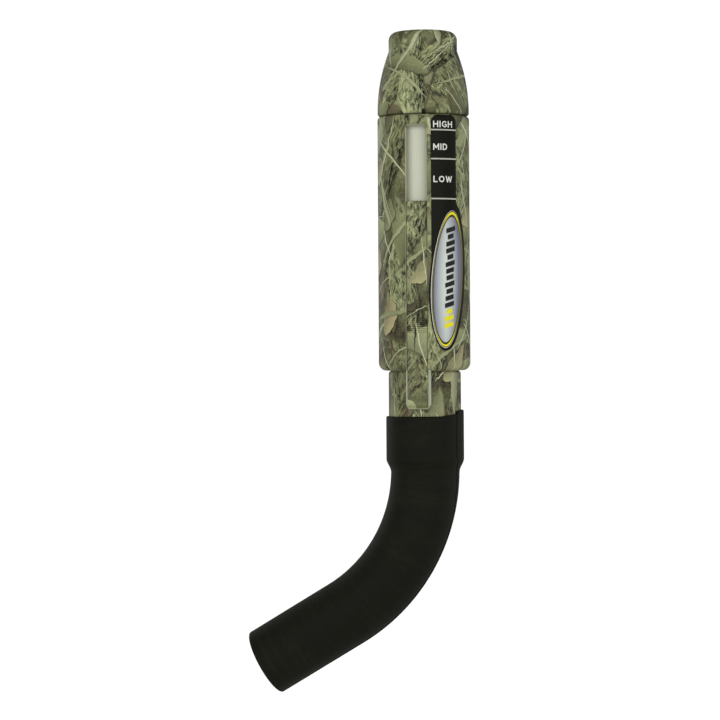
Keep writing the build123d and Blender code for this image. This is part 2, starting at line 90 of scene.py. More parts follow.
class Graph:
    """Adds nodes to a node tree. Each method returns what the new node gives."""

    def __init__(self, tree):
        self.tree = tree

    def node(self, kind, **settings):
        made = self.tree.nodes.new("ShaderNode" + kind)
        for key, value in settings.items():
            setattr(made, key, value)
        return made

    def feed(self, socket, value):
        if isinstance(value, Wire):
            self.tree.links.new(value.socket, socket)
        elif value is not None:
            socket.default_value = value[:3] if socket.type == "VECTOR" else value

    def math(self, operation, *values):
        made = self.node("Math", operation=operation)
        for socket, value in zip(made.inputs, values):
            self.feed(socket, value)
        return Wire(self, made.outputs[0])

    def join(self, x, y, z=0.0):
        made = self.node("CombineXYZ")
        for socket, value in zip(made.inputs, (x, y, z)):
            self.feed(socket, value)
        return Wire(self, made.outputs[0])

    def split(self, vector):
        made = self.node("SeparateXYZ")
        self.feed(made.inputs[0], vector)
        return [Wire(self, out) for out in made.outputs]

    def place(self):
        """The point in the CAD frame, in millimetres."""
        coordinates = self.node("TexCoord")
        return [part * (1 / MM) for part in self.split(Wire(self, coordinates.outputs["Object"]))]

    def smooth(self, value, low, high):
        """0 up to low, 1 from high on, and a smooth step between; the limits may be the other way round."""
        made = self.node("MapRange", interpolation_type="SMOOTHSTEP")
        for socket, number in zip(made.inputs, (value, low, high)):
            self.feed(socket, number)
        return Wire(self, made.outputs[0])

    def noise(self, vector, scale, detail=2.0, roughness=0.5, seed=None):
        made = self.node("TexNoise", noise_dimensions="3D" if seed is None else "4D")
        self.feed(made.inputs["Vector"], vector)
        if seed is not None:
            self.feed(made.inputs["W"], seed)
        self.feed(made.inputs["Scale"], scale)
        self.feed(made.inputs["Detail"], detail)
        self.feed(made.inputs["Roughness"], roughness)
        return Wire(self, made.outputs["Fac"])

    def cracks(self, vector, scale, seed):
        """How far a point is from the nearest edge between random cells."""
        made = self.node("TexVoronoi", voronoi_dimensions="4D", feature="DISTANCE_TO_EDGE")
        self.feed(made.inputs["Vector"], vector)
        self.feed(made.inputs["W"], seed)
        self.feed(made.inputs["Scale"], scale)
        return Wire(self, made.outputs["Distance"])

    def chance(self, vector):
        """Four random numbers from 0 to 1 that depend only on the vector."""
        made = self.node("TexWhiteNoise", noise_dimensions="3D")
        self.feed(made.inputs["Vector"], vector)
        parts = self.node("SeparateColor")
        self.tree.links.new(made.outputs["Color"], parts.inputs[0])
        return [Wire(self, out) for out in parts.outputs] + [Wire(self, made.outputs["Value"])]

    def ramp(self, value, *stops):
        """A colour from (place, colour) stops."""
        made = self.node("ValToRGB")
        elements = made.color_ramp.elements
        while len(elements) < len(stops):
            elements.new(1.0)
        for element, (place, colour) in zip(elements, stops):
            element.position = place
            element.color = colour
        self.feed(made.inputs[0], value)
        return Wire(self, made.outputs[0])

    def mix(self, amount, below, above, blend="MIX"):
        made = self.node("Mix", data_type="RGBA", blend_type=blend)
        self.feed(made.inputs[0], amount)
        self.feed(made.inputs[6], below)
        self.feed(made.inputs[7], above)
        return Wire(self, made.outputs[2])

    def shade(self, colour, factor):
        """A colour made lighter or darker by a factor."""
        made = self.node("VectorMath", operation="SCALE")
        self.feed(made.inputs[0], colour)
        self.feed(made.inputs[3], factor)
        return Wire(self, made.outputs[0])

    def bump(self, height, distance):
        """A normal from a height of up to a distance in millimetres."""
        made = self.node("Bump")
        made.inputs["Distance"].default_value = distance * MM
        self.feed(made.inputs["Height"], height)
        return Wire(self, made.outputs[0])

    def call(self, group, *values):
        """A node group's outputs for these inputs."""
        made = self.node("Group", node_tree=group)
        for socket, value in zip(made.inputs, values):
            self.feed(socket, value)
        return [Wire(self, out) for out in made.outputs]


def make_group(name, inputs, outputs, work):
    """A node group of numbers: work(graph, *inputs) gives the outputs. A name with a * is a colour."""
    tree = bpy.data.node_groups.new(name, "ShaderNodeTree")
    for names, way in ((inputs, "INPUT"), (outputs, "OUTPUT")):
        for title in names:
            kind = "NodeSocketColor" if title.endswith("*") else "NodeSocketFloat"
            tree.interface.new_socket(title.strip("*"), in_out=way, socket_type=kind)
    graph = Graph(tree)
    entry = tree.nodes.new("NodeGroupInput")
    results = work(graph, *[Wire(graph, entry.outputs[i]) for i in range(len(inputs))])
    leave = tree.nodes.new("NodeGroupOutput")
    for i, result in enumerate(results):
        graph.feed(leave.inputs[i], result)
    return tree


def srgb(red, green, blue):
    """A linear colour from 0 to 255 display values."""
    values = (red, green, blue)
    linear = [((c / 255 + 0.055) / 1.055) ** 2.4 if c > 10 else c / 3294.6 for c in values]
    return (*linear, 1.0)


def material(name, paint, roughness=0.5, specular=0.5, metallic=0.0, **shader_values):
    """A Principled material. paint(graph) gives what feeds each shader socket that varies."""
    made = bpy.data.materials.new(name)
    made.use_nodes = True
    tree = made.node_tree
    shader = tree.nodes["Principled BSDF"]
    shader.inputs["Roughness"].default_value = roughness
    shader.inputs["Specular IOR Level"].default_value = specular
    shader.inputs["Metallic"].default_value = metallic
    for key, value in shader_values.items():
        shader.inputs[key.replace("_", " ")].default_value = value
    graph = Graph(tree)
    for key, wire in paint(graph).items():
        graph.feed(shader.inputs[key], wire)
    return made


def dress(piece, look):
    """Gives an object one material."""
    piece.data.materials.clear()
    piece.data.materials.append(look)


# ---------------------------------------------------------------- printed foliage

SHADOW = srgb(34, 33, 22)
DARK_BROWN = srgb(66, 62, 44)
BROWN = srgb(92, 86, 64)
OLIVE = srgb(86, 88, 62)
MOSS = srgb(106, 109, 78)
SAGE = srgb(126, 131, 98)
PALE_SAGE = srgb(147, 151, 120)
STRAW = srgb(166, 168, 138)
TAN = srgb(142, 135, 104)
BLEACHED = srgb(188, 191, 168)
PRINT_TINT = (1.0, 1.0, 0.92, 1.0)
PLAIN_OLIVE = srgb(140, 139, 114)
UNCOATED = srgb(168, 173, 148)
# The slot's side walls: bare plastic painted much lighter than it is, as painted light inside the slot.
SLOT_WALL_PAINTED_LIGHT = srgb(218, 216, 180)


# How far a shape may stand from its cell's middle, in parts of a cell, and how much a seed shifts the cells.
JITTER = 0.24
ROW_SHIFT = 0.37
COLUMN_SHIFT = 0.61


def scatter(g, u, v, count, height, seed, aim, spread):
    """Splits the girth into count cells. Gives a point's place in its randomly turned cell, and its chances."""
    width = GIRTH / count
    row = g.math("FLOOR", v / height + seed * ROW_SHIFT)
    across = u / width + row * 0.5 + seed * COLUMN_SHIFT
    column = g.math("FLOOR", across)
    cell = g.join(g.math("FLOORED_MODULO", column, count), row, seed)
    extra, size, shade, aside = g.chance(cell)
    x = (across - column - 0.5 + (extra - 0.5) * JITTER) * width
    y = (v / height + seed * ROW_SHIFT - row - 0.5 + (size - 0.5) * JITTER) * height
    turn = aim + (aside - 0.5) * spread
    c, s = g.math("COSINE", turn), g.math("SINE", turn)
    return x * c + y * s, y * c - x * s, shade, extra, size, c, s


def leaf_shape(g, x, y, half_length, half_width, soft, bend, lobes):
    """A pointed, slightly curved leaf: its mask and how far across it a point is, from -1 to 1."""
    along = x / half_length
    body = g.math("MAXIMUM", 1.0 - along * along, 0.0)
    width = body * (1.0 + along * 0.35) * half_width * (1.0 + g.math("SINE", along * 8.5 + 1.0) * lobes)
    off = y - x * x * bend / half_length
    mask = g.smooth(width - abs(off), 0.0, soft)
    return mask, off / (width + 0.02)


def blade_shape(g, x, y, half_length, half_width, soft, bend, taper):
    """A long thin blade or twig of nearly even width."""
    along = x / half_length
    body = g.math("SQRT", g.math("MAXIMUM", 1.0 - along * along, 0.0))
    width = body * half_width * (1.0 + along * taper)
    off = y - x * x * bend / half_length
    mask = g.smooth(width - abs(off), 0.0, soft)
    return mask, off / (width + 0.02)


SCATTER_INPUTS = ["u", "v", "count", "height", "seed", "aim", "spread"]
SCATTER = make_group("scatter", SCATTER_INPUTS, ["x", "y", "shade", "extra", "size", "cos", "sin"], scatter)
SHAPE_INPUTS = ["x", "y", "half_length", "half_width", "soft", "bend", "form"]
LEAF_SHAPE = make_group("leaf_shape", SHAPE_INPUTS, ["mask", "across"], leaf_shape)
BLADE_SHAPE = make_group("blade_shape", SHAPE_INPUTS, ["mask", "across"], blade_shape)

# One layer of scattered shapes. Sizes are in millimetres, the aim and spread in radians from level. Share is the
# part of the cells that hold a shape. Form is how lobed a leaf is, or how much a limb or blade tapers. Each
# shape's chance picks its colour between the three shades.
Layer = namedtuple("Layer", "kind count height half_length half_width soft aim spread share form shades seed")

BACK_LEAVES = [
    Layer("leaf", 4, 26, 12.0, 6.4, 2.2, 0.9, 3.0, 0.80, 0.0, (DARK_BROWN, OLIVE, SAGE), 1.0),
    Layer("leaf", 5, 21, 10.5, 5.0, 1.6, -0.8, 3.0, 0.75, 0.0, (BROWN, SAGE, MOSS), 2.0),
    Layer("leaf", 5, 20, 9.5, 4.4, 0.7, 1.4, 3.4, 0.60, 0.03, (SAGE, DARK_BROWN, PALE_SAGE), 3.0),
]
LIMBS = [
    Layer("limb", 2, 50, 27.0, 6.4, 0.5, 1.05, 0.9, 0.95, 0.2, (MOSS, SAGE, MOSS), 15.0),
    Layer("limb", 3, 36, 20.0, 4.0, 0.4, 1.95, 0.8, 0.75, -0.2, (SAGE, MOSS, SAGE), 16.0),
]
FRONT_LEAVES = [
    Layer("leaf", 4, 25, 12.5, 5.2, 0.35, 0.8, 2.8, 0.45, 0.03, (MOSS, PALE_SAGE, SAGE), 4.0),
    Layer("leaf", 6, 17, 8.0, 3.0, 0.25, -1.0, 3.4, 0.30, 0.08, (DARK_BROWN, SAGE, TAN), 5.0),
    Layer("leaf", 5, 22, 10.5, 3.4, 0.25, 1.8, 2.0, 0.42, 0.03, (PALE_SAGE, DARK_BROWN, MOSS), 6.0),
]
BLADES = [
    Layer("blade", 3, 36, 16.0, 0.95, 0.25, 1.15, 0.9, 0.75, 0.5, (SAGE, STRAW, PALE_SAGE), 7.0),
    Layer("blade", 3, 33, 15.0, 0.75, 0.20, 2.00, 0.9, 0.70, -0.5, (STRAW, SAGE, PALE_SAGE), 8.0),
    Layer("blade", 4, 27, 12.5, 0.50, 0.16, 1.5, 0.7, 0.55, 0.6, (DARK_BROWN, SHADOW, BROWN), 9.0),
    Layer("blade", 4, 25, 12.0, 0.80, 0.20, 0.5, 2.5, 0.40, 0.4, (MOSS, PALE_SAGE, SAGE), 13.0),
]
TWIGS = [
    Layer("blade", 3, 36, 16.5, 0.40, 0.14, 2.15, 1.0, 0.90, 0.5, (BLEACHED, STRAW, BLEACHED), 10.0),
    Layer("blade", 3, 31, 15.0, 0.30, 0.12, 0.85, 1.3, 0.85, -0.5, (STRAW, BLEACHED, STRAW), 11.0),
    Layer("blade", 4, 26, 12.5, 0.26, 0.12, 1.7, 2.6, 0.75, 0.4, (BLEACHED, PALE_SAGE, STRAW), 12.0),
    Layer("blade", 5, 20, 9.0, 0.22, 0.10, 2.6, 2.0, 0.60, 0.4, (STRAW, STRAW, BLEACHED), 14.0),
]


LEAF_SHADOW_REACH = 0.55
BLADE_SHADOW_REACH = 0.3
SHADOW_BLUR = 0.7
SHADOW_DEPTH = 0.84


def bark_light(g, rind, crack, contrast):
    """How light bark is: dark between its ridges and in its cracks."""
    return 0.20 + g.smooth(rind, 0.37, 0.65) * contrast - g.smooth(crack, 0.14, 0.0) * 0.24


def lay_shapes(g, colour, layer, u, v, grain):
    """Lays one layer's shapes over a colour, each with a soft shadow on its lower right."""
    x, y, shade, extra, size, c, s = g.call(
        SCATTER, u, v, float(layer.count), float(layer.height), layer.seed, layer.aim, layer.spread
    )
    shape = LEAF_SHAPE if layer.kind == "leaf" else BLADE_SHAPE
    bend = (extra - 0.5) * 0.5
    long = (0.72 + size * 0.4) * layer.half_length
    wide = (0.6 + shade * 0.6) * layer.half_width
    mask, across = g.call(shape, x, y, long, wide, layer.soft, bend, layer.form)
    reach = BLADE_SHADOW_REACH if layer.kind == "blade" else LEAF_SHADOW_REACH
    shadow_x = x - c * reach + s * reach
    shadow_y = y + s * reach + c * reach
    blur = layer.soft + SHADOW_BLUR
    shadow, _ = g.call(shape, shadow_x, shadow_y, long, wide + reach / 2, blur, bend, layer.form)
    there = g.smooth(extra, layer.share + 0.01, layer.share)
    first, middle, last = layer.shades
    tone = g.ramp(shade, (0.15, first), (0.5, middle), (0.85, last))
    if layer.kind == "leaf":
        rib = g.smooth(abs(across), 0.07, 0.0) * 0.16
        veins = g.math("SINE", (x + abs(y) * 1.1) * 4.2) * 0.04
        light = 0.98 + across * 0.32 + x / long * 0.16 + rib + veins + (grain - 0.5) * 0.6
    elif layer.kind == "limb":
        rind = g.noise(g.join(x * 0.34, off_centre(g, y, wide), shade * 40.0), 1.0, 7.0, 0.72, layer.seed)
        crack = g.cracks(g.join(x * 0.4 + rind * 2.0, y * 0.8 + rind * 2.0, shade * 40.0), 0.8, layer.seed)
        light = bark_light(g, rind, crack, 1.58) + across * 0.45
    else:
        light = 1.08 - abs(across) * 0.28 + (grain - 0.5) * 0.5
    tone = g.shade(tone, light)
    colour = g.mix(shadow * there * SHADOW_DEPTH, colour, SHADOW)
    return g.mix(mask * there, colour, tone)


def off_centre(g, y, wide):
    """A place across a limb that is squeezed towards its sides, as on a round branch."""
    share = g.math("MINIMUM", abs(y) / wide, 0.98)
    return g.math("ARCSINE", share) * wide * g.math("SIGN", y)


def bark(g, turn, v, twist, seed, grain):
    """Bark along a helix: its colour, from dark cracks to pale ridges."""
    angle = turn + v * twist
    wobble = (grain - 0.5) * 1.5
    east, north = g.math("COSINE", angle) * BARREL_R, g.math("SINE", angle) * BARREL_R
    around = g.join(east + wobble, north + wobble, v * 0.36 + wobble)
    rind = g.noise(around, 0.95, 7.0, 0.72, seed)
    crack = g.cracks(around, 0.75, seed)
    tone = g.ramp(g.noise(around, 0.12, 2.0, 0.5, seed), (0.42, BROWN), (0.5, MOSS), (0.58, SAGE))
    return g.shade(tone, bark_light(g, rind, crack, 1.48))


# How far noise moves the pattern's shapes, in millimetres: in broad waves, at ragged edges, and along thin stems.
WARP = 4.0
JAG = 0.3
KINK = 0.9
# Each patchy run of bark: how much it twists, its seed and where its noise starts to show it.
BARK_PATCHES = ((0.03, 2.2, 0.52), (-0.045, 9.4, 0.55))


def foliage(g, turn_by, lift_by):
    """The printed foliage: blurred leaves behind, patches of bark, then leaves, grass blades and twigs."""
    x, y, z = g.place()
    turn = g.math("ARCTAN2", x, y * -1.0) + turn_by
    inward = BARREL_R - g.math("SQRT", x * x + y * y)
    lift = z + inward + lift_by
    round_place = g.join(g.math("COSINE", turn) * BARREL_R, g.math("SINE", turn) * BARREL_R, lift)
    sway = (g.noise(round_place, 0.2, 2.0, 0.5, 3.1) - 0.5) * WARP
    heave = (g.noise(round_place, 0.2, 2.0, 0.5, 5.3) - 0.5) * WARP
    jag = (g.noise(round_place, 1.3, 2.0, 0.6, 8.7) - 0.5) * JAG
    straight = turn * BARREL_R
    u = straight + sway + jag
    v = lift + heave + jag
    grain = g.noise(round_place, 1.1, 5.0, 0.7, 1.7)
    broad = g.noise(round_place, 0.075, 2.0, 0.5, 6.4)
    colour = g.ramp(
        broad * 0.7 + grain * 0.3, (0.38, SHADOW), (0.43, DARK_BROWN), (0.49, OLIVE), (0.54, MOSS), (0.60, SAGE)
    )
    for layer in BACK_LEAVES:
        colour = lay_shapes(g, colour, layer, u, v, grain)
    for twist, seed, low in BARK_PATCHES:
        rind = bark(g, turn, lift, twist, seed, grain)
        patch = g.smooth(g.noise(round_place, 0.07, 3.0, 0.55, seed) + (grain - 0.5) * 0.06, low, low + 0.02)
        colour = g.mix(patch, colour, rind)
    for layer in LIMBS + FRONT_LEAVES:
        colour = lay_shapes(g, colour, layer, u, v, grain)
    kink = (g.noise(round_place, 0.5, 1.0, 0.5, 2.6) - 0.5) * KINK
    u, v = straight + sway * 0.3 + kink, lift + heave * 0.3 - kink
    for layer in BLADES + TWIGS:
        colour = lay_shapes(g, colour, layer, u, v, grain)
    specks = g.noise(round_place, 2.6, 4.0, 0.75, 4.4)
    colour = g.mix(1.0, g.shade(colour, 0.42 + specks * 1.24), PRINT_TINT, "MULTIPLY")
    return colour, specks


FOLIAGE = make_group("foliage", ["turn_by", "lift_by"], ["colour*", "specks"], foliage)

# Where each printed part lies on the pattern: its turn in radians and its lift in millimetres.
PRINT_AT = {
    "barrel": (3.3, 70.0),
    "mouthpiece": (-0.19, 30.5),
    "neck": (0.6, -13.0),
    "slide_bar": (4.0, 35.0),
}


def printed(name, part, bare):
    """Satin plastic with the foliage print. bare(graph, radius, x, y, z) gives a mask of what it leaves bare."""

    def paint(g):
        colour, specks = g.call(FOLIAGE, *PRINT_AT[part])
        x, y, z = g.place()
        place = g.join(x, y, z)
        radius = g.math("SQRT", x * x + y * y)
        mask, plain = bare(g, radius, x, y, z)
        scuffs = g.noise(place, 0.9, 4.0, 0.6, 2.5)
        plain_colour = g.shade(plain, 0.9 + scuffs * 0.2)
        peel = g.noise(place, 2.4, 2.0, 0.5, 7.7)
        return {
            "Base Color": g.mix(mask, colour, plain_colour),
            "Roughness": 0.40 + scuffs * 0.16,
            "Normal": g.bump(peel + specks * 0.3, 0.02),
        }

    return material(name, paint, roughness=0.5, specular=0.16)


def barrel_bare(g, radius, x, y, z):
    """The print stops inside the barrel, and is thinner on the slot's bevelled edges. The slot's side walls get a
    much lighter colour than the bare plastic, as painted light, and the ramp at the slot's top keeps the darker
    plain olive, as painted shade.
    """
    between_ends = g.smooth(z, 44.4, 44.0) * g.smooth(z, -43.4, -43.0)
    inside = g.smooth(radius, 16.1, 15.7) * between_ends
    edge = g.smooth(radius, 16.46, 16.3) * g.smooth(abs(x), 4.4, 4.2) * g.smooth(y, 0.0, -1.0) * 0.2
    # Painted light and shade: the walls below the ramp take the light wall colour, and the ramp above keeps the
    # darker plain olive.
    return g.math("MAXIMUM", inside, edge), g.mix(g.smooth(z, 40.3, 40.9), SLOT_WALL_PAINTED_LIGHT, PLAIN_OLIVE)


def mouthpiece_bare(g, radius, x, y, z):
    """The print stops in the airway and under the foot."""
    airway = g.smooth(radius, 8.2, 7.4)
    spigot = g.smooth(z, 45.9, 45.6)
    return g.math("MAXIMUM", airway, spigot), PLAIN_OLIVE


def neck_bare(g, radius, x, y, z):
    """The print covers the neck's outside only."""
    return g.smooth(radius, 12.6, 12.3), PLAIN_OLIVE


def bar_bare(g, radius, x, y, z):
    """The print stops on the bar's flanges, and the edges of its sides are mixed half way to the same pale
    plastic, so they run as lighter lines.
    """
    flange = g.smooth(radius, 14.75, 14.45)
    # Lighter lines along the edges of the sides: half way to the flanges' pale plastic.
    edge = g.smooth(abs(x), 3.72, 3.95) * 0.55
    return g.math("MAXIMUM", flange, edge), UNCOATED


# ---------------------------------------------------------------- other materials


def mottled(colour, change, scale, fine, bump_height):
    """A paint of one colour with cloudy and fine variation, and a fine bump."""

    def paint(g):
        place = g.join(*g.place())
        clouds = g.noise(place, scale, 3.0, 0.55, 1.3)
        grit = g.noise(place, fine, 3.0, 0.6, 5.1)
        factor = 1.0 + (clouds - 0.5) * change + (grit - 0.5) * change * 0.6
        return {"Base Color": g.shade(colour, factor), "Normal": g.bump(grit, bump_height)}

    return paint


def pale_tube_paint(g):
    """Off-white plastic with faint drawn lines along it and a little handling grime."""
    x, y, z = g.place()
    lines = g.noise(g.join(x, y, z * 0.03), 2.6, 3.0, 0.6, 2.0)
    clouds = g.noise(g.join(x, y, z), 0.16, 3.0, 0.6, 4.0)
    factor = 0.93 + lines * 0.07 + clouds * 0.10
    return {"Base Color": g.shade(srgb(178, 181, 163), factor), "Normal": g.bump(lines, 0.015)}


def tube_run(g, x, z):
    """How far down the rubber tube's centreline a point is, from the start of the bend."""
    bend_x, bend_z = x + BEND_R, TAPER_END - z
    turn = g.math("MINIMUM", g.math("ARCTAN2", bend_z, bend_x), BEND_ANGLE)
    beyond = (bend_x * -1.0) * sin(BEND_ANGLE) + bend_z * cos(BEND_ANGLE)
    return turn * BEND_R + g.math("MAXIMUM", beyond, 0.0)


def rubber_paint(g):
    """Black moulded rubber: a dusty bloom, faint wrap marks from its mould and a fine grain."""
    x, y, z = g.place()
    place = g.join(x, y, z)
    bloom = g.noise(place, 0.06, 4.0, 0.6, 3.3)
    grain = g.noise(place, 3.0, 3.0, 0.65, 6.1)
    wraps = g.noise(g.join(tube_run(g, x, z), x * 0.06, y * 0.06), 0.62, 3.0, 0.6, 9.9)
    cloud = bloom * 0.5 + wraps * 0.35 + grain * 0.15
    colour = g.ramp(cloud, (0.38, srgb(7, 9, 1)), (0.5, srgb(11, 13, 3)), (0.62, srgb(20, 22, 10)))
    return {
        "Base Color": colour,
        "Roughness": 0.52 + bloom * 0.25 + wraps * 0.1,
        "Normal": g.bump(grain * 0.4 + wraps * 1.4, 0.08),
    }


# The label's turn from the slot and its ovals, in millimetres as seen square on.
LABEL_TURN = radians(42.0)
OVAL_LEAN = radians(4.1)
PLATE_AT = (0.0, -13.2)
RING_HALF = (6.33, 24.2)
FACE_AT = (-0.1, -13.3)
FACE_HALF = (5.6, 22.2)


def label_place(g):
    """A point's place on the label: across it, seen square on, and up it."""
    x, y, z = g.place()
    return x * cos(LABEL_TURN) + y * sin(LABEL_TURN), z


def oval(g, across, up, centre, half):
    """1 on an oval's edge, less inside it and more outside."""
    dx, dz = across - centre[0], up - centre[1]
    c, s = cos(OVAL_LEAN), sin(OVAL_LEAN)
    along, wide = dz * c + dx * s, dx * c - dz * s
    a, b = wide / half[0], along / half[1]
    return g.math("SQRT", a * a + b * b)


def badge_paint(g):
    """Printed foil: a pale hairline, a yellow ring and a brushed silver face that darkens to its rim. Light is
    painted in: the silver face has a painted reflection, lightest a little left of its middle and darker to its
    sides, the ring has painted shade along its sides, and the hairline is painted pale on the left and dark on
    the right.
    """
    across, up = label_place(g)
    ring = oval(g, across, up, PLATE_AT, RING_HALF)
    face = oval(g, across, up, FACE_AT, FACE_HALF)
    brush = g.noise(g.join(across * 0.4, up * 6.0), 1.4, 3.0, 0.6, 2.0)
    # Painted reflection on the silver face: lightest a little left of its middle and darker to its sides; it also
    # darkens towards its rim.
    side = abs(across - FACE_AT[0] + 1.1) / FACE_HALF[0]
    painted_reflection_falloff = side * 0.7 + face * face * 0.35
    silver = g.ramp(painted_reflection_falloff, (0.0, srgb(202, 209, 199)), (0.40, srgb(172, 178, 177)), (0.92, srgb(104, 104, 124)))
    silver = g.shade(silver, 0.92 + brush * 0.16)
    glints = (g.noise(g.join(across, up), 0.12, 2.0, 0.5, 7.0) - 0.5) * 0.3
    # Painted shade on the yellow ring: duller along its sides, brightest at its top and foot.
    ends = abs(up - PLATE_AT[1]) / RING_HALF[1] + glints * 0.3
    yellow = g.ramp(
        ends,
        (0.55, srgb(104, 104, 52)),
        (0.78, srgb(150, 142, 34)),
        (0.90, srgb(206, 196, 18)),
        (1.0, srgb(222, 212, 24)),
    )
    # Painted shade on the hairline: pale on its left, dark on its right.
    hairline = g.ramp(across / 14.0 + 0.5 + glints, (0.55, srgb(206, 206, 196)), (0.80, srgb(96, 96, 74)))
    line = srgb(48, 46, 24)
    colour = g.mix(g.smooth(face, 1.0, 1.012), silver, line)
    colour = g.mix(g.smooth(face, 1.035, 1.05), colour, yellow)
    colour = g.mix(g.smooth(ring, 0.985, 0.995), colour, line)
    colour = g.mix(g.smooth(ring, 1.0, 1.01), colour, hairline)
    return {"Base Color": colour, "Normal": g.bump(brush, 0.01)}


def label_paint(g):
    """Black printed film with fine scratches and dust."""
    across, up = label_place(g)
    scratches = g.noise(g.join(across * 5.0, up * 0.25), 1.1, 4.0, 0.7, 3.0)
    dust = g.noise(g.join(across, up), 0.35, 3.0, 0.6, 8.0)
    wear = scratches * 0.5 + dust * 0.5
    colour = g.ramp(wear, (0.40, srgb(9, 9, 3)), (0.52, srgb(11, 11, 4)), (0.68, srgb(20, 20, 12)))
    return {"Base Color": colour, "Roughness": 0.40 + dust * 0.2, "Normal": g.bump(scratches, 0.008)}


def ink_paint(light):
    """Screen-printed ink, a little uneven."""
    return mottled(light, 0.16, 1.2, 6.0, 0.01)


def steel_paint(g):
    """Ground steel with fine lines along it."""
    x, y, z = g.place()
    lines = g.noise(g.join(x * 0.1, y, z * 0.1), 9.0, 3.0, 0.6, 2.0)
    return {
        "Base Color": g.ramp(lines, (0.3, srgb(150, 151, 154)), (0.7, srgb(196, 197, 199))),
        "Roughness": 0.26 + lines * 0.16,
        "Normal": g.bump(lines, 0.008),
    }


def felt_paint(g):
    """Dark pressed felt with fibres in all directions."""
    fibres = g.noise(g.join(*g.place()), 5.0, 5.0, 0.75, 2.0)
    return {
        "Base Color": g.ramp(fibres, (0.3, srgb(24, 24, 22)), (0.7, srgb(66, 65, 60))),
        "Normal": g.bump(fibres, 0.15),
    }


def dress_cad():
    """Gives every CAD node that shows its material."""
    seal = mottled(srgb(24, 24, 23), 0.5, 0.6, 5.0, 0.02)
    rubber = material("seal_rubber", seal, roughness=0.55, specular=0.3)
    black = mottled(srgb(44, 44, 42), 0.35, 0.4, 4.0, 0.02)
    board = material("board_plastic", black, roughness=0.4, specular=0.4)
    looks = {
        "barrel": printed("barrel_print", "barrel", barrel_bare),
        "mouthpiece": printed("mouthpiece_print", "mouthpiece", mouthpiece_bare),
        "neck": printed("neck_print", "neck", neck_bare),
        "slide_bar": printed("bar_print", "slide_bar", bar_bare),
        "inner_tube": material("pale_plastic", pale_tube_paint, roughness=0.42, specular=0.35),
        "position_label": material("label_film", label_paint, specular=0.10),
        "foil_badge": material("badge_foil", badge_paint, roughness=0.5, specular=0.15),
        "slide_gasket": material("felt", felt_paint, roughness=0.95, specular=0.1),
        "slide_carriage": material(
            "carriage_plastic", mottled(srgb(58, 60, 52), 0.3, 0.4, 4.0, 0.02), roughness=0.42, specular=0.4
        ),
        "tone_board": board,
        "reed_holder": board,
        "reed": material("reed_film", mottled(srgb(206, 202, 182), 0.12, 0.3, 3.0, 0.01), roughness=0.2),
        "reed_wedge": material(
            "wedge_plastic", mottled(srgb(138, 58, 44), 0.25, 0.5, 4.0, 0.02), roughness=0.4, specular=0.4
        ),
        "tuning_ring": rubber,
        "neck_seal": rubber,
        "holder_seals": rubber,
        "mouthpiece_seal": rubber,
        "carriage_pin": material("pin_steel", steel_paint, roughness=0.3, metallic=1.0),
    }
    looks["key_pins"] = looks["carriage_pin"]
    for node, look in looks.items():
        dress(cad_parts[node], look)


# ---------------------------------------------------------------- mesh pieces


def mesh_piece(name, points, faces, look, body):
    """A mesh object from points in metres, which rides on a body and wears a material."""
    mesh = bpy.data.meshes.new(name)
    mesh.from_pydata(points, [], faces)
    mesh.validate()
    return finish_piece(bpy.data.objects.new(name, mesh), look, body)


def finish_piece(piece, look, body):
    """Adds an object to the scene with a material and a body to ride on."""
    bpy.context.scene.collection.objects.link(piece)
    dress(piece, look)
    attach(piece, body)
    return piece


def smooth_faces(piece):
    """Shades a piece's faces smoothly."""
    for face in piece.data.polygons:
        face.use_smooth = True


# The rubber tube, in millimetres: the same centreline as its CAD solid.
HOSE_R = 12.35
HOSE_BORE_R = 11.0
CUFF_R = 14.0
CUFF_BORE_R = 13.05
CUFF_RIM = -62.0
RIM_FLAT_X = 6.0
RIM_STEP_X = 12.8
RIM_SWEEP = 0.8
RIM_STEP = 0.9
RIM_STEP_WIDE = 0.2
RIM_TIP = 0.6
RIM_ROUND = 0.3
CUFF_END = -78.1
TAPER_END = -81.3
KINK_ROUND = 0.4
BEND_R = 61.0
BEND_ANGLE = radians(58.7)
OUTLET_LENGTH = 34.9
OUTLET_SKEW = 0.45
OUTLET_ROUND = 0.45
INNER_ROUND = 0.15
SEAM_HEIGHT = 0.2
SEAM_HALF = radians(1.9)
HOSE_SIDES = 216
CREASE_AT = 1.9
CREASE_DEPTH = 1.4
# How far the mould's parting line is turned from the outside of the bend, in degrees, at places down the run in
# millimetres. The cuff was twisted a little as it was pushed on.
SEAM_PATH = ((-6.0, -24.0), (3.0, -11.0), (16.0, -4.0), (60.0, -9.0))


def hose_point(run, radius, angle):
    """A point at a run down the centreline from the taper's end, and at a radius and angle from it."""
    out, across = radius * cos(angle), radius * sin(angle)
    if run <= 0:
        return Vector((out, across, TAPER_END - run)) * MM
    turn = min(run / BEND_R, BEND_ANGLE)
    beyond = max(run - BEND_R * BEND_ANGLE, 0.0)
    x = -BEND_R + (BEND_R + out) * cos(turn) - beyond * sin(turn)
    z = TAPER_END - (BEND_R + out) * sin(turn) - beyond * cos(turn)
    return Vector((x, across, z)) * MM


def rim_height(angle):
    """The cuff's rim: level, then a sweep up, a small step and a last rise on the outside of the bend."""
    x = CUFF_R * cos(angle)
    sweep = min(max((x - RIM_FLAT_X) / (RIM_STEP_X - RIM_FLAT_X), 0.0), 1.0)
    step = min(max((x - RIM_STEP_X) / RIM_STEP_WIDE, 0.0), 1.0)
    tip = max(x - RIM_STEP_X, 0.0) / (CUFF_R - RIM_STEP_X)
    return CUFF_RIM + RIM_SWEEP * sweep**2 + RIM_STEP * step + RIM_TIP * tip


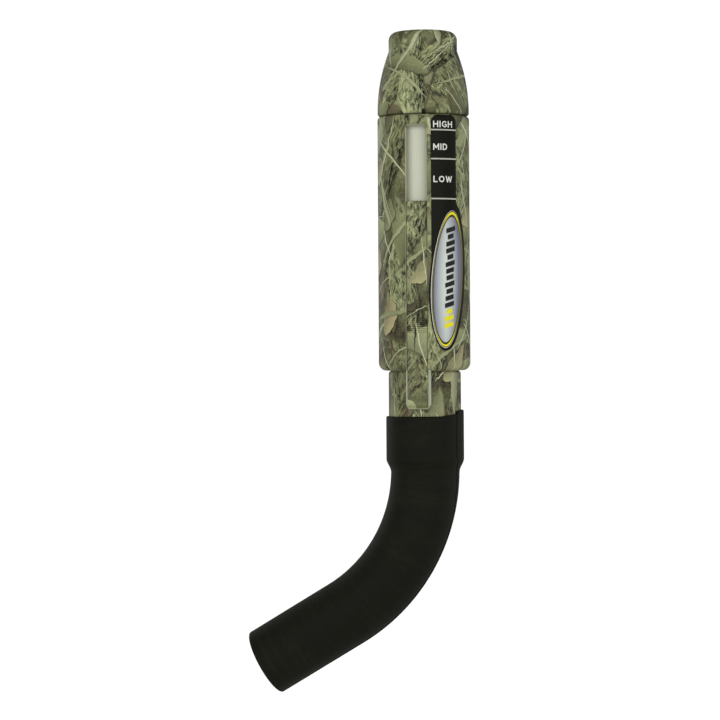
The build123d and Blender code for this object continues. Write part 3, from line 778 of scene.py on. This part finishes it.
def cuff_radius(height, wide, narrow):
    """The radius between the cuff and the tube, with both kinks a little rounded."""
    share = min(max((CUFF_END + KINK_ROUND - height) / (CUFF_END - TAPER_END + 2 * KINK_ROUND), 0.0), 1.0)
    eased = share * share * (3 - 2 * share)
    return wide + (narrow - wide) * (0.45 * share + 0.55 * eased)


def seam_turn(run):
    """The parting line's turn at a run down the centreline."""
    for (start, low), (end, high) in zip(SEAM_PATH, SEAM_PATH[1:]):
        if run < end:
            share = max((run - start) / (end - start), 0.0)
            return radians(low + (high - low) * share * share * (3 - 2 * share))
    return radians(SEAM_PATH[-1][1])


def seam(side):
    """The parting line: a low ridge with a crease beside it, as height at an angle from it."""
    off = ((side + pi) % (2 * pi) - pi) / SEAM_HALF
    ridge = max(1 - off * off, 0.0)
    crease = max(1 - (off + CREASE_AT) ** 2, 0.0)
    return SEAM_HEIGHT * (ridge - CREASE_DEPTH * crease)


def skew(angle, share):
    """The outlet's end is cut a little out of square; near the bend there is none of it."""
    return OUTLET_SKEW * cos(angle) * share**8


def hose_rings():
    """The tube's rings: its outside from the rim to the outlet, then its inside back up to the rim."""
    sides = [2 * pi * i / HOSE_SIDES for i in range(HOSE_SIDES)]
    length = BEND_R * BEND_ANGLE + OUTLET_LENGTH
    cuff_steps, tube_steps = 26, 90

    def cuff_ring(share, wide, narrow, seam_share):
        ring = []
        turn = seam_turn((TAPER_END - CUFF_RIM) * (1 - share))
        for side in sides:
            top = rim_height(side + turn) - (RIM_ROUND if share > 0 else 0)
            height = top + (TAPER_END - top) * share
            radius = cuff_radius(height, wide, narrow) + seam(side) * seam_share
            ring.append(hose_point(TAPER_END - height, radius, side + turn))
        return ring

    def tube_ring(run, radius, skew_share=0.0, seam_share=0.0):
        turn = seam_turn(run)
        return [
            hose_point(run + skew(side + turn, skew_share), radius + seam(side) * seam_share, side + turn)
            for side in sides
        ]

    rings = [cuff_ring(0.0, CUFF_R - RIM_ROUND, HOSE_R, 0.0), cuff_ring(0.001, CUFF_R - 0.04, HOSE_R, 0.5)]
    rings += [cuff_ring(i / cuff_steps, CUFF_R, HOSE_R, 1.0) for i in range(1, cuff_steps + 1)]
    for i in range(1, tube_steps + 1):
        share = i / tube_steps
        rings.append(tube_ring((length - OUTLET_ROUND) * share, HOSE_R, share, 1.0 - 0.5 * share))
    for part in (0.35, 0.7, 1.0):
        ease = part * pi / 2
        run = length - OUTLET_ROUND + OUTLET_ROUND * sin(ease)
        rings.append(tube_ring(run, HOSE_R - OUTLET_ROUND + OUTLET_ROUND * cos(ease), 1.0))
    rings.append(tube_ring(length, HOSE_BORE_R + INNER_ROUND, 1.0))
    rings.append(tube_ring(length - INNER_ROUND, HOSE_BORE_R, 1.0))
    for i in range(1, tube_steps + 1):
        rings.append(tube_ring((length - INNER_ROUND) * (1 - i / tube_steps), HOSE_BORE_R))
    rings += [cuff_ring(i / cuff_steps, CUFF_BORE_R, HOSE_BORE_R, 0.0) for i in range(cuff_steps - 1, 0, -1)]
    rings.append(cuff_ring(0.0, CUFF_BORE_R, HOSE_BORE_R, 0.0))
    return rings


def make_hose():
    """The bent rubber tube with its stretched cuff, stepped rim and mould line."""
    rings = hose_rings()
    points = [point for ring in rings for point in ring]
    faces = []
    for i in range(len(rings)):
        j = (i + 1) % len(rings)
        for k in range(HOSE_SIDES):
            m = (k + 1) % HOSE_SIDES
            faces.append((i * HOSE_SIDES + k, j * HOSE_SIDES + k, j * HOSE_SIDES + m, i * HOSE_SIDES + m))
    look = material(
        "hose_rubber",
        rubber_paint,
        specular=0.12,
        Sheen_Weight=0.06,
        Sheen_Roughness=0.3,
        Sheen_Tint=(0.86, 1.0, 0.62, 1.0),
    )
    piece = mesh_piece("exhaust_tube", points, faces, look, "hose")
    smooth_faces(piece)
    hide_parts("hose")


def on_barrel(across, up, lift):
    """A place on the label, in millimetres seen square on, as a point on the barrel's curve in metres."""
    radius = BARREL_R + lift
    turn = atan2(across, sqrt(max(BARREL_R**2 - across**2, 0.01))) + LABEL_TURN
    return Vector((radius * sin(turn), -radius * cos(turn), up)) * MM


INK_LIFT = 0.13
INK_THICK = 0.05
INK_STEP = 0.35


def cut_fine(shape):
    """Cuts a flat bmesh into thin upright strips, so that it can follow the barrel's curve."""
    xs = [v.co.x for v in shape.verts]
    cut = min(xs) + INK_STEP
    while cut < max(xs):
        whole = shape.verts[:] + shape.edges[:] + shape.faces[:]
        bmesh.ops.bisect_plane(shape, geom=whole, plane_co=(cut, 0, 0), plane_no=(1, 0, 0))
        cut += INK_STEP


def ink_piece(name, shape, look):
    """A flat bmesh in label millimetres, given ink's thickness and wrapped on the barrel."""
    cut_fine(shape)
    shape.verts.index_update()
    count = len(shape.verts)
    lifts = (INK_LIFT, INK_LIFT + INK_THICK)
    points = [on_barrel(v.co.x, v.co.y, lift) for lift in lifts for v in shape.verts]
    faces = []
    for face in shape.faces:
        corners = [v.index for v in face.verts]
        faces += [corners[::-1], [i + count for i in corners]]
    for edge in shape.edges:
        if edge.is_boundary:
            loop = edge.link_loops[0]
            start, end = loop.vert.index, loop.link_loop_next.vert.index
            faces.append([start, end, end + count, start + count])
    shape.free()
    return mesh_piece(name, points, faces, look, "body")


def flat_shape(outlines):
    """A flat bmesh from closed outlines of (across, up) corners."""
    shape = bmesh.new()
    for outline in outlines:
        shape.faces.new([shape.verts.new((x, z, 0)) for x, z in outline])
    return shape


# Plain heavy capitals: each letter's width and its strokes, for a letter one unit high.
STROKE_HALF = 0.088
LETTER_GAP = 0.17
LETTERS = {
    "D": (
        0.80,
        [
            [(0.1, 0), (0.1, 1)],
            [(0.1, 0.905), (0.38, 0.905), (0.62, 0.77), (0.7, 0.5), (0.62, 0.23), (0.38, 0.095), (0.1, 0.095)],
        ],
    ),
    "G": (
        0.86,
        [
            [(0.76, 0.78), (0.62, 0.88), (0.42, 0.91), (0.2, 0.78), (0.1, 0.5), (0.2, 0.22)]
            + [(0.42, 0.09), (0.62, 0.11), (0.76, 0.2), (0.76, 0.46), (0.5, 0.46)]
        ],
    ),
    "H": (0.82, [[(0.1, 0), (0.1, 1)], [(0.72, 0), (0.72, 1)], [(0.1, 0.52), (0.72, 0.52)]]),
    "I": (0.20, [[(0.1, 0), (0.1, 1)]]),
    "L": (0.66, [[(0.1, 0), (0.1, 1)], [(0.1, 0.095), (0.64, 0.095)]]),
    "M": (0.94, [[(0.1, 0), (0.1, 1)], [(0.84, 0), (0.84, 1)], [(0.12, 0.9), (0.47, 0.34), (0.82, 0.9)]]),
    "O": (
        0.96,
        [
            [(0.48, 0.91), (0.2, 0.79), (0.1, 0.5), (0.2, 0.21), (0.48, 0.09)]
            + [(0.76, 0.21), (0.86, 0.5), (0.76, 0.79), (0.48, 0.91)]
        ],
    ),
    "W": (1.18, [[(0.1, 1), (0.34, 0.06), (0.59, 0.86), (0.84, 0.06), (1.08, 1)]]),
}


def thick_line(a, b, half):
    """The corners of a straight stroke from a to b."""
    along = (Vector(b) - Vector(a)).normalized() * half
    side = Vector((-along.y, along.x))
    return [Vector(a) - side, Vector(b) - side, Vector(b) + side, Vector(a) + side]


def round_joint(centre, half):
    """The corners of a round joint between strokes."""
    return [Vector(centre) + Vector((cos(i * pi / 6), sin(i * pi / 6))) * half for i in range(12)]


def joined(outlines):
    """A flat bmesh of what overlapping outlines cover together."""
    points, loops = [], []
    for outline in outlines:
        loops.append(list(range(len(points), len(points) + len(outline))))
        points += outline
    corners, _, faces, _, _, covers = delaunay_2d_cdt(points, [], loops, 0, 1e-4)
    shape = bmesh.new()
    verts = [shape.verts.new((corner.x, corner.y, 0)) for corner in corners]
    for face, cover in zip(faces, covers):
        if cover:
            shape.faces.new([verts[i] for i in face])
    bmesh.ops.delete(shape, geom=[vert for vert in verts if not vert.link_faces], context="VERTS")
    return shape


def word_shape(text, left, middle, height):
    """A word in plain heavy capitals as a flat bmesh."""
    outlines = []
    half = STROKE_HALF * height
    for letter in text:
        width, strokes = LETTERS[letter]
        for stroke in strokes:
            line = [(left + x * height, middle + (z - 0.5) * height) for x, z in stroke]
            outlines += [thick_line(a, b, half) for a, b in zip(line, line[1:])]
            outlines += [round_joint(point, half) for point in line[1:-1]]
        left += (width + LETTER_GAP) * height
    return joined(outlines)


WORDS = (("HIGH", 41.85), ("MID", 33.8), ("LOW", 22.35))
WORD_HEIGHT = 2.3
WORD_LEFT = -5.75
LINES = (39.85, 29.55, 15.4)
LINE_HALF = 0.24
LABEL_SIDES = (-6.45, 3.35)


def make_scale():
    """The label's three voice words and the lines between them."""
    white = material("scale_ink", ink_paint(srgb(204, 206, 196)), roughness=0.5, specular=0.3)
    grey = material("line_ink", ink_paint(srgb(168, 170, 158)), roughness=0.5, specular=0.3)
    for word, up in WORDS:
        shape = word_shape(word, WORD_LEFT, up, WORD_HEIGHT)
        ink_piece("scale_word_" + word.lower(), shape, white)
    left, right = LABEL_SIDES
    bars = [
        [(left, up - LINE_HALF), (right, up - LINE_HALF), (right, up + LINE_HALF), (left, up + LINE_HALF)]
        for up in LINES
    ]
    ink_piece("scale_lines", flat_shape(bars), grey)


BAR_COUNT = 15
BAR_PITCH = 2.42
BAR_THICK = 1.66
BAR_SLANT = 0.3
BAR_FOOT = (-0.1, -29.4)
BAR_LEAN = 0.028
BAR_SHORT = 1.1
BAR_SWELL = 0.85
ACCENT_COUNT = 3


def badge_bars(chosen):
    """Some of the column of slanted bars up the badge, whose widths swell and fade."""
    outlines = []
    for i in chosen:
        rise = i * BAR_PITCH
        across, up = BAR_FOOT[0] + rise * BAR_LEAN, BAR_FOOT[1] + rise
        half = BAR_SHORT + BAR_SWELL * abs(sin(0.9 + i * 1.15))
        low, high = -BAR_THICK / 2, BAR_THICK / 2
        corners = [(-half, low), (half, low), (half, high), (-half, high)]
        outlines.append([(across + x, up + z + x * BAR_SLANT) for x, z in corners])
    return flat_shape(outlines)


def make_badge():
    """The badge's plain motif of bars: black above, yellow at the foot."""
    black = material("bar_ink", ink_paint(srgb(20, 20, 18)), roughness=0.4, specular=0.3)
    yellow = material("accent_ink", ink_paint(srgb(214, 206, 20)), roughness=0.4, specular=0.3)
    ink_piece("badge_bars", badge_bars(range(ACCENT_COUNT, BAR_COUNT)), black)
    ink_piece("badge_accents", badge_bars(range(ACCENT_COUNT)), yellow)


# ---------------------------------------------------------------- studio

VIEW_TURN = radians(11.0)
VIEW_OUT = -23.3
VIEW_UP = -41.7
VIEW_AT = Vector((VIEW_OUT * cos(VIEW_TURN), VIEW_OUT * sin(VIEW_TURN), VIEW_UP)) * MM
VIEW_DISTANCE = 1.009
VIEW_ROLL = radians(-0.35)
LENS = 140.0
SENSOR = 36.0

# Each light's place, its width and height, all in metres, and its power in watts.
LIGHTS = {
    "key": ((-0.45, -0.95, 0.15), (0.8, 1.0), 6.5),
    "fill": ((0.60, -0.80, 0.02), (0.7, 1.0), 5.4),
    "back_left": ((-0.75, 0.40, 0.05), (0.5, 0.9), 1.8),
    "back_right": ((0.80, 0.35, 0.05), (0.5, 0.9), 2.4),
}


def make_camera():
    """A long lens, level with the middle of the call and a little to the right of its slot."""
    data = bpy.data.cameras.new("camera")
    data.lens = LENS
    data.sensor_width = SENSOR
    data.clip_start = 0.01
    camera = bpy.data.objects.new("camera", data)
    bpy.context.scene.collection.objects.link(camera)
    back = Vector((sin(VIEW_TURN), -cos(VIEW_TURN), 0))
    aim = back.to_track_quat("Z", "Y").to_matrix().to_4x4()
    roll = Matrix.Rotation(VIEW_ROLL, 4, "Z")
    camera.matrix_world = Matrix.Translation(VIEW_AT + back * VIEW_DISTANCE) @ aim @ roll
    bpy.context.scene.camera = camera


def make_light(name, place, size, power):
    """A large soft light that faces the call."""
    data = bpy.data.lights.new(name, "AREA")
    data.shape = "RECTANGLE"
    data.size, data.size_y = size
    data.energy = power
    light = bpy.data.objects.new(name, data)
    bpy.context.scene.collection.objects.link(light)
    light.location = place
    light.rotation_euler = (Vector(place) - VIEW_AT).to_track_quat("Z", "Y").to_euler()


FLOOR_Z = -0.60
FLOOR_R = 1.4
FLOOR_SIDES = 96
FLOOR_GLOW = 0.70
WORLD_SEEN = 1.05
WORLD_LIGHT = 0.28


def paper_paint(g):
    """Pale paper with faint clouds, which looks brighter than the light it throws back."""
    place = g.join(*g.place())
    clouds = g.noise(place, 0.004, 3.0, 0.55, 1.3)
    fibres = g.noise(place, 0.06, 3.0, 0.6, 5.1)
    colour = g.shade(srgb(244, 244, 242), 0.98 + clouds * 0.02 + fibres * 0.01)
    seen = Wire(g, g.node("LightPath").outputs["Is Camera Ray"])
    return {"Base Color": colour, "Emission Color": colour, "Emission Strength": seen * FLOOR_GLOW}


def make_floor():
    """A plain pale disc, well below the call, which is held in the hand and stands on nothing."""
    turns = [2 * pi * i / FLOOR_SIDES for i in range(FLOOR_SIDES)]
    points = [Vector((FLOOR_R * cos(turn), FLOOR_R * sin(turn), FLOOR_Z)) for turn in turns]
    mesh = bpy.data.meshes.new("floor")
    mesh.from_pydata(points, [], [list(range(FLOOR_SIDES))])
    floor = bpy.data.objects.new("floor", mesh)
    bpy.context.scene.collection.objects.link(floor)
    dress(floor, material("pale_paper", paper_paint, roughness=0.9, specular=0.1))


def make_world():
    """A white sweep behind everything, which lights the call more softly than it looks."""
    world = bpy.data.worlds.new("studio")
    bpy.context.scene.world = world
    world.use_nodes = True
    g = Graph(world.node_tree)
    background = world.node_tree.nodes["Background"]
    seen = Wire(g, g.node("LightPath").outputs["Is Camera Ray"])
    background.inputs["Color"].default_value = (1.0, 1.0, 1.0, 1.0)
    g.feed(background.inputs["Strength"], seen * (WORLD_SEEN - WORLD_LIGHT) + WORLD_LIGHT)


def make_studio():
    """The camera, the white surroundings, the floor and four soft lights."""
    make_camera()
    make_world()
    make_floor()
    for name, (place, size, power) in LIGHTS.items():
        make_light(name, place, size, power)
    view = bpy.context.scene.view_settings
    view.view_transform = "Standard"
    view.look = "None"


dress_cad()
make_hose()
make_scale()
make_badge()
make_studio()
